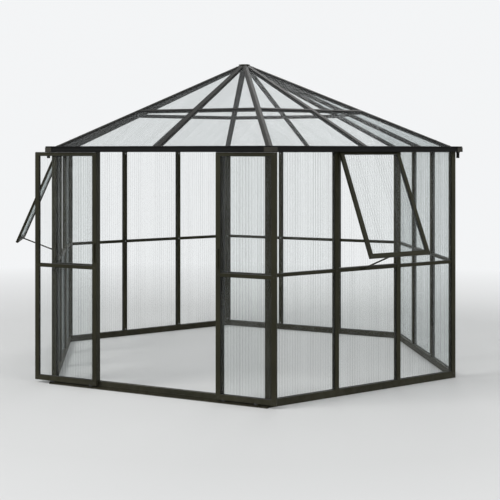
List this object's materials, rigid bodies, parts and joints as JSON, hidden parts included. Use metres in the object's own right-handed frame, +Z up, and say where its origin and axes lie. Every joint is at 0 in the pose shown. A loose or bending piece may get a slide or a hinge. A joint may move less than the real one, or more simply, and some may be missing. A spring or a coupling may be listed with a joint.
{
  "type": "polycarbonate greenhouse",
  "caption": "Hexagonal garden greenhouse: dark aluminium frame, clear twin-wall sheets, low pyramid roof with gutter, sliding double door and top-hung windows.",
  "frame": {"origin": "on the ground in the middle of the hexagon", "axes": "-Y is out through the doorway, +X to the right as seen from outside the doorway, +Z up"},
  "size_m": [4.207, 3.6434, 2.8298],
  "materials": {
    "powder_coat": "matt dark charcoal powder coat on aluminium",
    "polycarbonate": "clear twin-wall polycarbonate with upright flutes",
    "nylon": "black nylon wheels and guide shoes"
  },
  "bodies": {
    "greenhouse": {"apex_cap": "powder_coat", "apex_hub": "powder_coat", "back_eave_gutter": "powder_coat", "back_left_eave_gutter": "powder_coat", "back_left_wall_frame": "powder_coat", "back_left_wall_sheets": "polycarbonate", "back_right_eave_gutter": "powder_coat", "back_right_wall_frame": "powder_coat", "back_right_wall_sheets": "polycarbonate", "back_wall_frame": "powder_coat", "back_wall_sheets": "polycarbonate", "base_rails": "powder_coat", "corner_posts": "powder_coat", "door_side_frames": "powder_coat", "door_side_sheets": "polycarbonate", "door_track": "powder_coat", "front_eave_gutter": "powder_coat", "front_left_eave_gutter": "powder_coat", "front_left_wall_frame": "powder_coat", "front_left_wall_sheets": "polycarbonate", "front_right_eave_gutter": "powder_coat", "front_right_wall_frame": "powder_coat", "front_right_wall_sheets": "polycarbonate", "gutter_corners": "powder_coat", "gutter_fascias": "powder_coat", "gutter_spouts": "powder_coat", "roof_hips": "powder_coat", "roof_purlins": "powder_coat", "roof_rafters": "powder_coat", "roof_sheets_lower": "polycarbonate", "roof_sheets_upper": "polycarbonate", "window_hinges": "powder_coat", "window_sashes": "powder_coat", "window_sheets": "polycarbonate", "window_stays": "powder_coat", "window_surrounds": "powder_coat"},
    "left_door": {"door_left_frame": "powder_coat", "door_left_pull": "powder_coat", "door_left_rollers": "nylon", "door_left_sheets": "polycarbonate"},
    "right_door": {"door_right_frame": "powder_coat", "door_right_pull": "powder_coat", "door_right_rollers": "nylon", "door_right_sheets": "polycarbonate"}
  },
  "joints": [
    {"name": "left_door_slide", "type": "slide", "parent": "greenhouse", "child": "left_door", "axis": [1, 0, 0], "range_m": [0, 0.6035]},
    {"name": "right_door_slide", "type": "slide", "parent": "greenhouse", "child": "right_door", "axis": [-1, 0, 0], "range_m": [0, 0.5035]}
  ]
}
